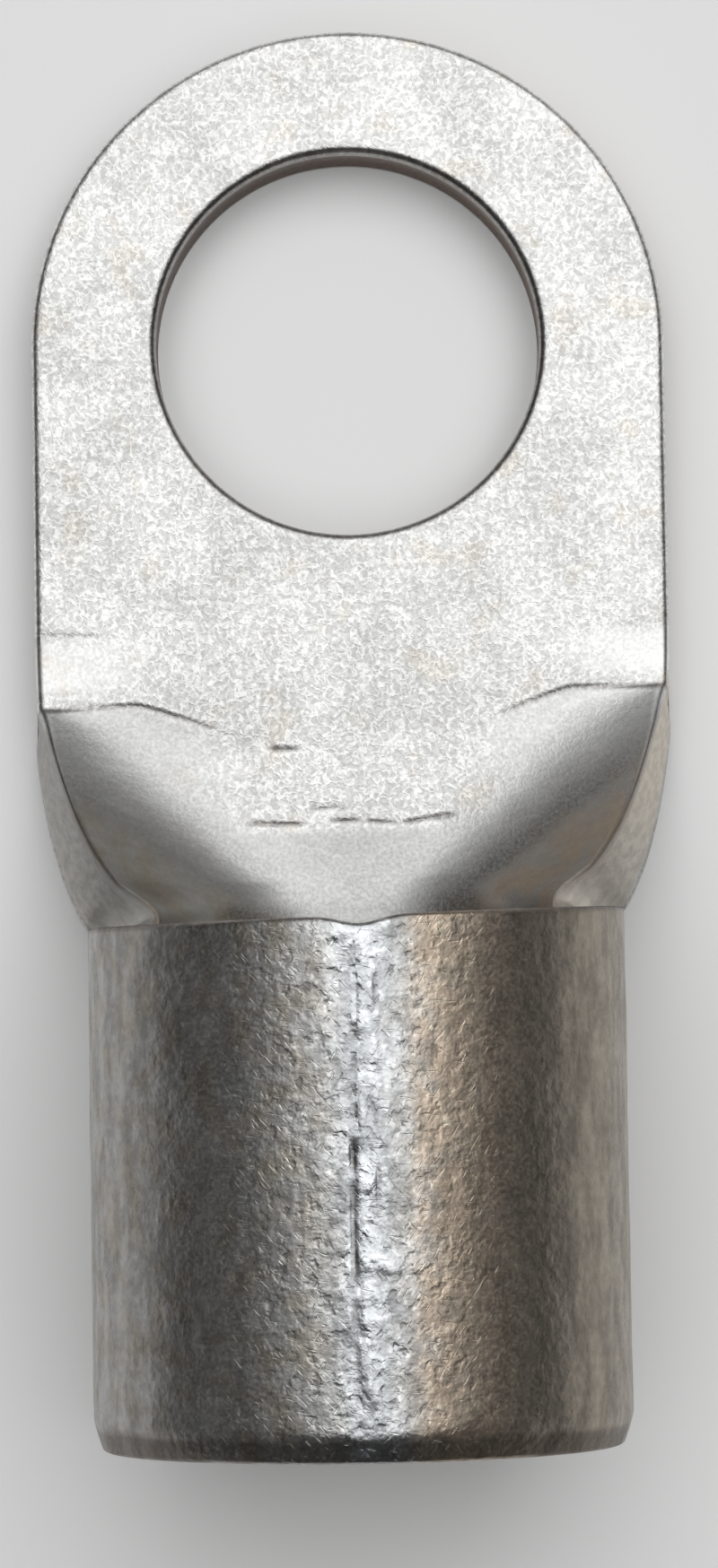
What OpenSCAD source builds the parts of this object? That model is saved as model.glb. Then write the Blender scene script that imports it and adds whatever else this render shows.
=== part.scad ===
// Ring-tongue cable lug, pressed and rolled from one piece of sheet.
// A ring-shaped palm narrows through an open, trough-shaped neck into a rolled barrel,
// whose two wings meet in a brazed butt seam along the top.
// The origin is the centre of the bolt hole on the underside of the palm.
// +Z points up out of the palm, and the barrel lies towards -Y.

/* [Sheet] */
// Thickness of the sheet
sheet_t = 3; // [2:0.1:4]
// Radius of the edge that the blanking punch draws in, on the upper side
edge_roll = 0.35; // [0.1:0.05:0.6]
// Deburred edge on the underside
edge_break = 0.15; // [0.05:0.05:0.4]

/* [Palm] */
// Width of the palm, and of the blank's neck
palm_w = 28; // [22:0.5:36]
// Diameter of the bolt hole
bolt_hole_d = 17; // [6:0.1:19]
// Bolt hole's centre to the cable end of the barrel
hole_to_end = 48; // [40:0.5:66]

/* [Barrel] */
// Bore of the barrel
barrel_bore_d = 16.5; // [12:0.5:21]
// Length of the barrel
barrel_l = 22; // [16:0.5:30]
// How far the top of the mouth lies behind its sides
mouth_setback = 0.4; // [0.1:0.1:2]
// Length of the rounded edge at the cable end
end_round_l = 1.4; // [0.4:0.1:2.4]
// How far that rounded edge drops
end_round_drop = 0.4; // [0.2:0.1:1.2]
// Chamfer inside the cable end
entry_chamfer = 0.3; // [0.1:0.05:0.8]

/* [Seam] */
// Width of the groove left along the butt seam
seam_w = 0.5; // [0.3:0.1:1.2]
// Depth of that groove
seam_depth = 0.35; // [0.1:0.05:0.9]
// Width of the nick where the two wings' corners meet at the mouth
nick_w = 3.6; // [1:0.1:6]
// Depth of that nick
nick_depth = 0.35; // [0.1:0.05:1]

/* [Neck] */
// Length of the neck, from the shoulder crease to the barrel's mouth
neck_l = 10.4; // [8:0.1:14]
// Length over which the palm's edges lift before the crease
run_in_l = 3; // [1.5:0.1:4]
// Angle that the edges have reached at the crease
run_in_angle = 4; // [1:0.5:8]
// Distance from the palm's edge to where the crease turns down the trough
crease_inset = 3.4; // [2:0.1:6]
// Radius in the blank's corner between the neck and the wings
corner_r = 2; // [0.8:0.1:3]
// How far the stretched edges draw in at the middle of the neck
edge_draw_in = 0.35; // [0:0.05:0.8]
// Share of the sheet's thickness that those edges lose there
edge_thinning = 0.15; // [0:0.01:0.25]
// Radius to which their outer corner is worn there by the die
edge_outer_r = 0.5; // [0.2:0.05:0.8]

/* [Hidden] */
$fn = 96;
// The neck enters the barrel's wall this far inside both of its faces.
wall_seat = 0.05;
// Depth to which the neck runs on inside the barrel's wall.
wall_run = 1;

bore_r = barrel_bore_d / 2;
barrel_r = bore_r + sheet_t;
mouth_y = barrel_l - hole_to_end;
crease_y = mouth_y + neck_l;
run_in_y = crease_y + run_in_l;
// The neck keeps the blank's width, measured at half the sheet's thickness.
wrap_angle = (palm_w / 2) / (bore_r + sheet_t / 2) * 180 / PI;

// How the trough deepens: the crease closes in on the centreline at this rate, and past
// the end of the crease the whole section is one arc.
crease_rate = 3.3;
crease_run_out = 6;
// Share of the bend that the crease itself makes, and the part of the neck it takes.
crease_jump = 0.08;
crease_sharpness = 0.04;
// Angle by which the edges lag behind an even turn at the middle of the neck.
rim_lag = 6.5;
// Softness of the bend across the sheet: before the crease, at it and at the mouth.
soft_before = 2;
soft_crease = 0.5;
soft_mouth = 1;
// From this part of the neck on, the cut edge turns square to the barrel's axis.
square_from = 0.45;

function clamp01(v) = max(0, min(1, v));
function smooth01(v) = clamp01(v) ^ 2 * (3 - 2 * clamp01(v));
function softplus(v) = v > 30 ? v : ln(1 + exp(v));
function unit(v) = v / norm(v);

// Position along the neck: 0 at the crease, 1 at the mouth, and below 0 in the run-in.
function neck_t(y) = min(1, (crease_y - y) / neck_l);

// How much the edges are stretched: none at the crease and the mouth, most between them.
function stretch(t) = sin(180 * clamp01(t));

// Angle to which the sheet's edge has been turned up.
function rim_angle(t) = t < 0
    ? run_in_angle * clamp01(1 + t * neck_l / run_in_l) ^ 2
    : run_in_angle - rim_lag * stretch(t) + (wrap_angle - run_in_angle)
        * (t + crease_jump * (1 - exp(-t / crease_sharpness)) * (1 - t) ^ 2);

// Half of the flat width that is left in the middle of the trough.
function flat_half(t) = (palm_w / 2 - crease_inset) * exp(-crease_rate * max(t, 0))
    - crease_run_out * max(t, 0) ^ 6;

function softness(t) = soft_crease + (soft_mouth - soft_crease) * max(t, 0)
    + (soft_before - soft_crease) * exp(-max(t, 0) / crease_sharpness);

// Half-width of the sheet's upper face, without the corner at the wings.
function face_half(t) = palm_w / 2 - edge_draw_in * stretch(t)
    - sheet_t / 2 * rim_angle(t) * PI / 180;

// Angle of the upper face at the distance u from the centreline.
function face_angle(u, t) =
    let (w = flat_half(t), s = softness(t), base = softplus(-w / s))
    rim_angle(t) * (softplus((u - w) / s) - base) / (softplus((face_half(t) - w) / s) - base);

// The upper face's path from the centreline out, as [x, z] at each of n equal steps.
function face_path(u_end, t, n, i = 0, x = 0, z = 0) = i > n ? [] :
    let (du = u_end / n, a = face_angle((i + 0.5) * du, t))
    concat([[x, z]], face_path(u_end, t, n, i + 1, x + du * cos(a), z + du * sin(a)));

path_steps = 64;

// Point on the upper face, linear between the path's steps.
function on_path(path, f) =
    let (k = min(path_steps - 1, floor(f * path_steps)), r = f * path_steps - k)
    path[k] * (1 - r) + path[k + 1] * r;

// Extra half-width in the corner where the neck meets the wings.
function corner_extra(y) =
    let (d = clamp01((y - mouth_y) / corner_r))
    corner_r * (1 - sqrt(1 - (1 - d) ^ 2));

// Height of the sheet's two faces at the distance d from a cut edge.
function roll_drop(d, r) = d >= r ? 0 : r - sqrt(r ^ 2 - (r - d) ^ 2);

// Distances from the cut edge at which the rounded edge has its points.
edge_steps = [0, 0.12, 0.4, 1] * edge_roll;

// Columns across half of the sheet: even ones, then those that round the cut edge.
inner_columns = 14;
edge_columns = len(edge_steps);
half_columns = inner_columns + edge_columns;

// Distance from the centreline of column j, for a sheet of half-width h.
function column_u(j, h) = j < inner_columns
    ? (h - edge_roll) * j / inner_columns
    : h - edge_steps[edge_columns - 1 - (j - inner_columns)];

// One cross-section of the right half: [upper point, lower point] for each column.
function half_section(y) =
    let (
        t = neck_t(y), dy = 0.05,
        h = face_half(t) + corner_extra(y),
        here = face_path(h, t, path_steps),
        ahead = face_path(h, neck_t(y + dy), path_steps),
        back = face_path(h, neck_t(y - dy), path_steps),
        seat = wall_seat * clamp01(t),
        square = smooth01((run_in_y - y) / run_in_l)
            * (1 - smooth01((t - square_from) / (1 - square_from)))
    )
    [for (j = [0 : half_columns - 1])
        let (
            u = column_u(j, h), f = u / h, a = face_angle(u, t),
            p = on_path(here, f),
            rise = (on_path(ahead, f)[1] - on_path(back, f)[1]) / (2 * dy),
            run = (on_path(ahead, f)[0] - on_path(back, f)[0]) / (2 * dy),
            across = [cos(a), 0, sin(a)],
            along = [run * square, 1, rise * square],
            n = unit(cross(across, along)),
            base = [p[0], y, p[1] + sheet_t],
            thickness = sheet_t * (1 - edge_thinning * stretch(t) * (u / h) ^ 2),
            outer_r = edge_break + (edge_outer_r - edge_break) * stretch(t),
            top_cut = seat + roll_drop(h - u, edge_roll),
            low_cut = seat + roll_drop(h - u, outer_r)
        )
        [base - n * top_cut, base - n * (thickness - low_cut)]
    ];

// Rings along the neck: even in the run-in, close at the crease, even down the trough,
// and by equal angles round the corner at the wings.
run_in_rings = [for (i = [0 : 4]) run_in_y - run_in_l * i / 5];
crease_rings = [for (t = [0, 0.02, 0.045, 0.08, 0.125, 0.18]) crease_y - neck_l * t];
trough_end = 1 - corner_r / neck_l;
trough_rings = [for (i = [1 : 7]) crease_y - neck_l * (0.18 + (trough_end - 0.18) * i / 7)];
corner_rings = [for (a = [15 : 15 : 90]) mouth_y + corner_r * (1 - sin(a))];
rings = concat(run_in_rings, crease_rings, trough_rings, corner_rings, [mouth_y - wall_run]);

function mirrored(p) = [-p[0], p[1], p[2]];

// A whole ring: the upper face from left to right, then the lower face from left to right.
columns = 2 * half_columns - 1;
function ring(y) =
    let (half = half_section(max(y, mouth_y)), shift = [0, y - max(y, mouth_y), 0])
    [for (side = [0, 1], j = [1 - half_columns : half_columns - 1])
        (j < 0 ? mirrored(half[-j][side]) : half[j][side]) + shift];

function top_index(i, j) = i * 2 * columns + j;
function low_index(i, j) = top_index(i, j) + columns;

// The sheet's cross-section where it is flat, as an outline of the right half.
function flat_half_outline() = concat(
    [[0, 0]],
    [for (d = [edge_break, 0]) [palm_w / 2 - d, roll_drop(d, edge_break)]],
    [for (d = edge_steps) [palm_w / 2 - d, sheet_t - roll_drop(d, edge_roll)]],
    [[0, sheet_t]]
);

// Ring-shaped palm: a half disc at the tip and a straight part up to the neck.
module palm_plate() {
    rotate_extrude(angle = 180) polygon(flat_half_outline());
    rotate([90, 0, 0])
        linear_extrude(-run_in_y)
            union() {
                polygon(flat_half_outline());
                mirror([1, 0]) polygon(flat_half_outline());
            }
}

// Punched bolt hole, with its drawn-in upper edge and its deburred lower edge.
module bolt_hole() {
    r = bolt_hole_d / 2;
    rotate_extrude()
        polygon(concat(
            [[0, -1], [r + edge_break, -1]],
            [for (d = [edge_break, 0]) [r + d, roll_drop(d, edge_break)]],
            [for (d = edge_steps) [r + d, sheet_t - roll_drop(d, edge_roll)]],
            [[r + edge_roll, sheet_t + 1], [0, sheet_t + 1]]
        ));
}

// Open neck: flat at the palm, and turned up along a curved crease into the barrel's arc.
module neck() {
    last = len(rings) - 1;
    points = [for (y = rings) each ring(y)];
    skin = [for (i = [0 : last - 1], j = [0 : columns - 2]) each [
        [top_index(i, j), top_index(i, j + 1), top_index(i + 1, j + 1)],
        [top_index(i, j), top_index(i + 1, j + 1), top_index(i + 1, j)],
        [low_index(i, j), low_index(i + 1, j + 1), low_index(i, j + 1)],
        [low_index(i, j), low_index(i + 1, j), low_index(i + 1, j + 1)]
    ]];
    cut_edges = [for (i = [0 : last - 1]) each [
        [top_index(i, 0), top_index(i + 1, 0), low_index(i + 1, 0)],
        [top_index(i, 0), low_index(i + 1, 0), low_index(i, 0)],
        [top_index(i, columns - 1), low_index(i + 1, columns - 1), top_index(i + 1, columns - 1)],
        [top_index(i, columns - 1), low_index(i, columns - 1), low_index(i + 1, columns - 1)]
    ]];
    ends = [for (j = [0 : columns - 2]) each [
        [top_index(0, j), low_index(0, j), low_index(0, j + 1)],
        [top_index(0, j), low_index(0, j + 1), top_index(0, j + 1)],
        [top_index(last, j), low_index(last, j + 1), low_index(last, j)],
        [top_index(last, j), top_index(last, j + 1), low_index(last, j + 1)]
    ]];
    polyhedron(points, concat(skin, cut_edges, ends));
}

// Places what is drawn about the Z axis on the barrel's axis, running back from the mouth.
module on_barrel_axis() {
    translate([0, mouth_y, barrel_r]) rotate([90, 0, 0]) children();
}

// Rolled barrel: a tube with a rounded outer edge and a chamfered entry at the cable end.
module barrel_tube() {
    // The rounded edge is an arc that leaves the barrel's surface without a corner.
    round_r = (end_round_l ^ 2 + end_round_drop ^ 2) / (2 * end_round_drop);
    round_angle = asin(end_round_l / round_r);
    steps = 6;
    on_barrel_axis()
        rotate_extrude()
            polygon(concat(
                [[bore_r, 0], [barrel_r, 0]],
                [for (i = [0 : steps]) let (a = round_angle * i / steps)
                    [barrel_r - round_r * (1 - cos(a)), barrel_l - end_round_l + round_r * sin(a)]],
                [[bore_r + entry_chamfer, barrel_l], [bore_r, barrel_l - entry_chamfer]]
            ));
}

// The wings' front edges lean back a little towards the seam.
module mouth_lean() {
    foot_z = barrel_r + corner_r;
    lean = atan(mouth_setback / (2 * barrel_r - foot_z));
    translate([0, mouth_y, foot_z])
        rotate([lean, 0, 0])
            translate([-barrel_r - 1, 0, 0])
                cube([2 * barrel_r + 2, corner_r + mouth_setback + 1, barrel_r]);
}

// V-shaped groove along the butt seam.
module seam_groove() {
    on_barrel_axis()
        translate([0, barrel_r, -1])
            linear_extrude(barrel_l + 2)
                polygon([[-seam_w, seam_depth], [0, -seam_depth], [seam_w, seam_depth]]);
}

// Nick where the rounded corners of the two wings meet at the mouth.
module seam_nick() {
    front = mouth_y - mouth_setback;
    translate([0, 0, barrel_r])
        linear_extrude(barrel_r + 1)
            polygon([
                [-nick_w, front + nick_depth],
                [0, front - nick_depth],
                [nick_w, front + nick_depth]
            ]);
}

module barrel() {
    difference() {
        barrel_tube();
        mouth_lean();
        seam_groove();
        seam_nick();
    }
}

module lug() {
    color("silver")
        difference() {
            union() {
                palm_plate();
                neck();
                barrel();
            }
            bolt_hole();
        }
}

lug();
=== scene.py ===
# %% [markdown]
# # A ring-tongue cable lug
# This lesson dresses one real object: a heavy cable lug, blanked from 3 mm copper sheet,
# pressed and rolled in one go, brazed along its seam and dipped in tin.
# The construction model already fixes its sizes. Here the same sheet is bent again, more
# finely, so that its rolled edges, its seam and the marks of its tools become real shape.

import math

import bpy
import numpy as np
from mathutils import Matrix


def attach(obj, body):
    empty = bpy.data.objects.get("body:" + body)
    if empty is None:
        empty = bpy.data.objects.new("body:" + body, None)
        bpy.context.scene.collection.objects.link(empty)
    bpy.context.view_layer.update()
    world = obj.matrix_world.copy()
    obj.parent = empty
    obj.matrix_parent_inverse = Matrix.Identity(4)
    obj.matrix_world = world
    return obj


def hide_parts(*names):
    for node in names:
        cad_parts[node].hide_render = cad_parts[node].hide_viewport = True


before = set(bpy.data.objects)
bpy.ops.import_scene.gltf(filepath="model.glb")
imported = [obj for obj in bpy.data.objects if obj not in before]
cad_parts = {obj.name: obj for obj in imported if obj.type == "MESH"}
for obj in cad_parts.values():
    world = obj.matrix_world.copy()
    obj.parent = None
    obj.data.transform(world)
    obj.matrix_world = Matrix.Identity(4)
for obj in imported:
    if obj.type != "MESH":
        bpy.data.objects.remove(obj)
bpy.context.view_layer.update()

# %% [markdown]
# ## The camera
# A part like this is usually laid flat on a bench and taken from above.
# A long lens keeps the palm and the barrel in proportion, although the barrel's top is
# 20 mm nearer to it. The camera stands over the middle of the barrel and looks a few degrees
# towards the palm, so that the near wall of the bolt hole stays hidden and the far one shows.

# %% Place the camera
MM = 0.001
SENSOR_LONG_SIDE = 36.0
camera_data = bpy.data.cameras.new("bench_camera")
camera_data.sensor_width = SENSOR_LONG_SIDE
camera_data.lens = 100.6
camera_data.shift_y = 0.072
camera = bpy.data.objects.new("bench_camera", camera_data)
bpy.context.scene.collection.objects.link(camera)
camera.location = (0.6 * MM, -35.72 * MM, 195.17 * MM)
camera.rotation_euler = tuple(math.radians(a) for a in (3.318, 0.193, -0.911))
camera_data.clip_start = 0.01
bpy.context.scene.camera = camera
print("camera height, mm:", round(camera.location.z / MM, 1))

# %% [markdown]
# ## The bench and the light
# The lug lies on its palm and on the foot of its barrel, on a plain pale board.
# Metal shows its surroundings, so the light is chosen for what the barrel mirrors: one
# soft box stands above the palm, a little to the right, and everything at its sides stays
# dim, which gives the barrel its bright top and its dark flanks. A wider and weaker box
# fills in behind it. A point lamp would only glint. A third box lights the board alone, so
# that it stays pale beside bright metal.

# %% Lay the board
def plain_material(name, colour, roughness):
    material = bpy.data.materials.new(name)
    material.use_nodes = True
    shader = material.node_tree.nodes["Principled BSDF"]
    shader.inputs["Base Color"].default_value = (*colour, 1)
    shader.inputs["Roughness"].default_value = roughness
    return material


board_half = 4.0
board_mesh = bpy.data.meshes.new("board")
corners = [(-1, -1), (1, -1), (1, 1), (-1, 1)]
board_points = [(x * board_half, y * board_half, 0) for x, y in corners]
board_mesh.from_pydata(board_points, [], [(0, 1, 2, 3)])
board = bpy.data.objects.new("board", board_mesh)
bpy.context.scene.collection.objects.link(board)
board.data.materials.append(plain_material("pale_board", (0.95, 0.95, 0.95), 0.9))
print("board, m:", 2 * board_half)


# %% Hang the lamps
def soft_box(name, zenith, towards, distance, size, radiance):
    """A rectangular lamp that faces the origin; zenith and towards are in degrees."""
    lamp = bpy.data.lights.new(name, "AREA")
    lamp.shape = "RECTANGLE"
    lamp.size, lamp.size_y = size
    lamp.energy = radiance * math.pi * size[0] * size[1]
    box = bpy.data.objects.new(name, lamp)
    bpy.context.scene.collection.objects.link(box)
    z, a = math.radians(zenith), math.radians(towards)
    box.location = tuple(
        distance * v for v in (math.sin(z) * math.cos(a), math.sin(z) * math.sin(a), math.cos(z))
    )
    box.rotation_euler = (0, z, a)
    return box


soft_box("main_soft_box", 19.9, 73, 0.6, (0.64, 0.62), 1.1)
soft_box("wide_soft_box", 36, 80, 0.9, (1.7, 1.8), 0.24)
board_box = soft_box("board_soft_box", 0, 0, 0.8, (1.6, 1.6), 0.6)
board_only = bpy.data.collections.new("board_only")
board_only.objects.link(board)
board_box.light_linking.receiver_collection = board_only
world = bpy.data.worlds.new("studio")
world.use_nodes = True
world.node_tree.nodes["Background"].inputs["Color"].default_value = (1, 1, 1, 1)
world.node_tree.nodes["Background"].inputs["Strength"].default_value = 0.045
bpy.context.scene.world = world
bpy.context.scene.view_settings.view_transform = "Standard"

# %% [markdown]
# ## The sheet, bent by formula
# Every point of the lug is first a point of the flat blank: u across it and y along it.
# One could model the bent shape by hand with a subdivision cage, but then the metal would
# stretch where it should not. Bending the blank by a formula keeps its width and thickness,
# as the press does, and any row of points can be as fine as it needs to be.

# %% Sizes of the lug, in millimetres
sheet_t = 3.0
palm_half = 14.0
hole_r = 8.5
bore_r = 8.25
barrel_r = bore_r + sheet_t
cable_end_y = -48.0
mouth_y = -26.0
neck_l = 10.4
run_in_l = 3.0
corner_r = 2.0
crease_y = mouth_y + neck_l
run_in_y = crease_y + run_in_l
wrap_angle = palm_half / (bore_r + sheet_t / 2)
print("wrap at the mouth, degrees:", round(math.degrees(wrap_angle), 1))

# %% How far the sheet is turned up
run_in_angle = math.radians(4)
rim_lag = math.radians(6.5)
crease_inset = 3.4
crease_rate = 3.3
crease_run_out = 6.0
bottom_half = 1.3
crease_jump = 0.08
crease_sharpness = 0.04
soft_before, soft_crease, soft_mouth = 2.0, 0.5, 1.0
edge_draw_in = 0.35
edge_thinning = 0.15


def clamp01(v):
    return np.clip(v, 0.0, 1.0)


def smooth01(v):
    v = clamp01(v)
    return v * v * (3 - 2 * v)


def stretch(t):
    return np.sin(math.pi * clamp01(t))


def rim_angle(t):
    """Angle of the sheet's edge: t is 0 at the crease and 1 at the barrel's mouth."""
    run_in = run_in_angle * clamp01(1 + t * neck_l / run_in_l) ** 2
    s = clamp01(t)
    jump = crease_jump * (1 - np.exp(-s / crease_sharpness)) * (1 - s) ** 2
    neck = run_in_angle - rim_lag * stretch(s) + (wrap_angle - run_in_angle) * (s + jump)
    return np.where(t < 0, run_in, neck)


def face_half(t):
    """Half of the upper face's width, without the corner at the wings."""
    return palm_half - edge_draw_in * stretch(t) - sheet_t / 2 * rim_angle(t)


print("upper face's half-width at the mouth:", round(float(face_half(np.array(1.0))), 3))


# %% Where across the sheet the bend lies
arc_from = 0.78


def sheet_angle(u, t):
    """Slope of the upper face at the distance u from the centreline."""
    s = clamp01(t)
    flat = (palm_half - crease_inset) * np.exp(-crease_rate * s)
    flat = flat + bottom_half * smooth01(2 * s) - crease_run_out * s**6
    soft = soft_crease + (soft_mouth - soft_crease) * s
    soft = soft + (soft_before - soft_crease) * np.exp(-s / crease_sharpness)
    base = np.logaddexp(0, -flat / soft)
    share = np.logaddexp(0, (u - flat) / soft) - base
    share = share / (np.logaddexp(0, (face_half(t) - flat) / soft) - base)
    arc = smooth01((t - arc_from) / (1 - arc_from))
    return rim_angle(t) * share * (1 - arc) + u / bore_r * arc


BEND_STEPS = 48


def bent_half(u, y):
    """Where the right half of the upper face lies: x, z and slope."""
    t = np.minimum(1.0, (crease_y - y) / neck_l)
    steps = (np.arange(BEND_STEPS) + 0.5) / BEND_STEPS
    slopes = sheet_angle(u[:, None] * steps, t[:, None])
    x = u / BEND_STEPS * np.cos(slopes).sum(axis=1)
    z = u / BEND_STEPS * np.sin(slopes).sum(axis=1) + sheet_t
    rolled = y <= mouth_y
    turn = u / bore_r
    x = np.where(rolled, bore_r * np.sin(turn), x)
    z = np.where(rolled, barrel_r - bore_r * np.cos(turn), z)
    return x, z, np.where(rolled, turn, sheet_angle(u, t))


def bend(u, y):
    """Upper face and its upward normal at every point (u, y) of the blank."""
    side, w, dy = np.sign(u), np.abs(u), 0.04
    x, z, slope = bent_half(w, y)
    x_up, z_up, _ = bent_half(w, y + dy)
    x_down, z_down, _ = bent_half(w, y - dy)
    run, rise = (x_up - x_down) / (2 * dy), (z_up - z_down) / (2 * dy)
    lean = np.sin(slope) * run - np.cos(slope) * rise
    normal = np.stack([-np.sin(slope) * side, lean, np.cos(slope)], 1)
    normal /= np.linalg.norm(normal, axis=1)[:, None]
    return np.stack([x * side, y, z], 1), normal


probe, _ = bend(np.array([0.0, 13.0]), np.array([-20.0, -20.0]))
print("the trough, mid-way down the neck:", probe.round(2).tolist())

# %% [markdown]
# ## The blank's net of points
# A punched part needs its points along its cut edges, where the punch draws the skin in.
# A grid with the hole cut out by a boolean would leave ragged triangles there, so the net is
# laid out one by one: rings round the bolt hole, rows down the neck, rows round the barrel.

# %% A blank to lay points on
EDGE_STEPS = [0.5, 0.38, 0.27, 0.17, 0.09, 0.03, 0.0]
FAR = 9.0
blank_points, blank_faces = [], []


def lay(u, y, to_edge=FAR):
    """Adds one point of the blank and gives its number."""
    blank_points.append((float(u), float(y), float(to_edge)))
    return len(blank_points) - 1


def weave(row_a, row_b, faces):
    """Joins two rows of points by faces, which look up if b lies behind a."""
    for a0, a1, b0, b1 in zip(row_a, row_a[1:], row_b, row_b[1:]):
        faces.append((a0, b0, b1, a1))


# %% Rows of the neck
join_y = -11.6
inner_columns = 70
corner_half = float(face_half(np.array(1.0))) + corner_r
corner_steps = 9
corner_top_y = mouth_y + corner_r


def neck_row(inner_half, inner_y, band):
    """One row: even columns, then the band beside the cut edge on both sides."""
    right = [(inner_half * j / inner_columns, inner_y, FAR) for j in range(inner_columns + 1)]
    right += band
    left = [(-u, y, d) for u, y, d in reversed(right[1:])]
    return [lay(*p) for p in left + right]


def straight_row(y):
    half = float(face_half(np.array((crease_y - y) / neck_l)))
    return neck_row(half - EDGE_STEPS[0], y, [(half - d, y, d) for d in EDGE_STEPS[1:]])


def corner_row(turn):
    """A row whose band goes round the corner between the neck and the wings."""
    y_at = lambda d: corner_top_y - (corner_r + d) * math.sin(turn)
    t = min(1.0, (crease_y - y_at(EDGE_STEPS[0])) / neck_l)
    half = float(face_half(np.array(t))) + corner_r
    u_at = lambda d: half - (corner_r + d) * math.cos(turn)
    band = [(u_at(d), y_at(d), d) for d in EDGE_STEPS[1:]]
    return neck_row(u_at(EDGE_STEPS[0]), y_at(EDGE_STEPS[0]), band)


fine_bands = [(-13.0, -12.4), (-17.2, -15.0), (-18.2, -17.7), (-21.6, -20.5)]
row_ys = [join_y]
while row_ys[-1] > corner_top_y + 0.1:
    near = any(low < row_ys[-1] < high for low, high in fine_bands)
    row_ys.append(max(corner_top_y, row_ys[-1] - (0.08 if near else 0.19)))
neck_rows = [straight_row(y) for y in row_ys]
neck_rows += [corner_row(math.pi / 2 * i / corner_steps) for i in range(1, corner_steps + 1)]
for front, back in zip(neck_rows, neck_rows[1:]):
    weave(front, back, blank_faces)
print("neck rows:", len(neck_rows), "of", len(neck_rows[0]), "points")

# %% Rings of the palm
side_steps, tip_steps, palm_rings = 34, 120, 18


def outline(inset):
    """Stations round the palm, anticlockwise from the neck's right edge."""
    half, back = palm_half - inset, join_y + inset
    right = [(half, back * (1 - i / side_steps)) for i in range(1, side_steps + 1)]
    turns = [math.pi * i / tip_steps for i in range(1, tip_steps)]
    tip = [(half * math.cos(a), half * math.sin(a)) for a in turns]
    left = [(-half, back * i / side_steps) for i in range(side_steps)]
    join = [(blank_points[p][0] * half / palm_half, back) for p in neck_rows[0]]
    return left + join + right + tip


def to_cut_edge(u, y):
    outer = palm_half - (math.hypot(u, y) if y > 0 else abs(u))
    return min(outer, math.hypot(u, y) - hole_r)


def palm_ring(stations, known=()):
    ring = [p if p is not None else lay(u, y, max(0.0, to_cut_edge(u, y)))
            for (u, y), p in zip(stations, known or [None] * len(stations))]
    return ring + ring[:1]


rings = []
for inset in reversed(EDGE_STEPS):
    known = [None] * side_steps + neck_rows[0] + [None] * (side_steps + tip_steps - 1)
    rings.append(palm_ring(outline(inset), known if inset == 0 else ()))
rim = outline(EDGE_STEPS[0])
bearings = [math.atan2(y, u) for u, y in rim]


def hole_ring(away):
    return [((hole_r + away) * math.cos(b), (hole_r + away) * math.sin(b)) for b in bearings]


for i in range(1, palm_rings):
    f = i / palm_rings
    rings.append(palm_ring([(a * (1 - f) + c * f, b * (1 - f) + d * f)
                            for (a, b), (c, d) in zip(rim, hole_ring(EDGE_STEPS[0]))]))
for away in EDGE_STEPS:
    rings.append(palm_ring(hole_ring(away)))
for outer, inner in zip(rings, rings[1:]):
    weave(inner, outer, blank_faces)
print("palm rings:", len(rings), "of", len(rim), "points")

# %% [markdown]
# ## The two wings
# The barrel is the widest part of the blank: two wings that are rolled up until they butt.
# Their front edges lean back a little, their corners are rounded where they meet, and the
# shears left the blank a hair out of square.

# %% Front edges of the wings
seam_u = math.pi * bore_r
seam_zone, fine_step, plain_step = 1.3, 0.06, 0.2
mouth_setback, nick_depth, nick_half = 0.4, 0.32, 1.1


def past_seam(u):
    """Distance round the barrel's outside from its top, to the right if above zero."""
    return np.sign(u) * (seam_u - np.abs(u)) * barrel_r / bore_r


def front_y(u):
    height = barrel_r * (1 - np.cos(u / bore_r))
    foot = barrel_r + corner_r
    back = mouth_setback * np.maximum(0.0, (height - foot) / (2 * barrel_r - foot))
    return mouth_y - back - nick_depth * np.exp(-(((past_seam(u) - 0.2) / nick_half) ** 2))


plain = int((seam_u - corner_half - seam_zone) / plain_step)
fine = int(seam_zone / fine_step)
plain_l = seam_u - seam_zone - corner_half
wing_us = [corner_half + plain_l * i / plain for i in range(1, plain + 1)]
wing_us += [seam_u - seam_zone + seam_zone * i / fine for i in range(1, fine)]
ring_us = wing_us + [seam_u] + [-u for u in reversed(wing_us)]
last = neck_rows[-1]
band_n = len(EDGE_STEPS) - 1
front_rows = []
for k, d in enumerate(EDGE_STEPS):
    row = [lay(u, front_y(u) - d, d if k else FAR) for u in ring_us]
    front_rows.append([last[len(last) - 1 - band_n + k]] + row + [last[band_n - k]])
for behind, ahead in zip(front_rows, front_rows[1:]):
    weave(ahead, behind, blank_faces)
collar = last[band_n : len(last) - band_n] + front_rows[0][1:-1]
collar = collar + collar[:1]
print("columns round the barrel:", len(collar) - 1)

# %% [markdown]
# ## Marks of the tools
# A rolled lug is never a perfect tube. The butt seam shows as a broken dark groove beside a
# second, finer line where the braze stopped; beads of tin sit along it, and the outside is
# dented by other lugs in the drum. The neck carries the creases of the punch. A bump map
# would do for the finest of them, but these are deep enough to be modelled.

# %% Smooth random lines and patches
def wander(v, period, seed):
    """A smooth random line between -1 and 1."""
    knots = np.random.default_rng(seed).uniform(-1, 1, 512)
    p = np.asarray(v) / period + 256
    i = np.floor(p).astype(int)
    f = smooth01(p - i)
    return knots[i] * (1 - f) + knots[i + 1] * f


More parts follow.
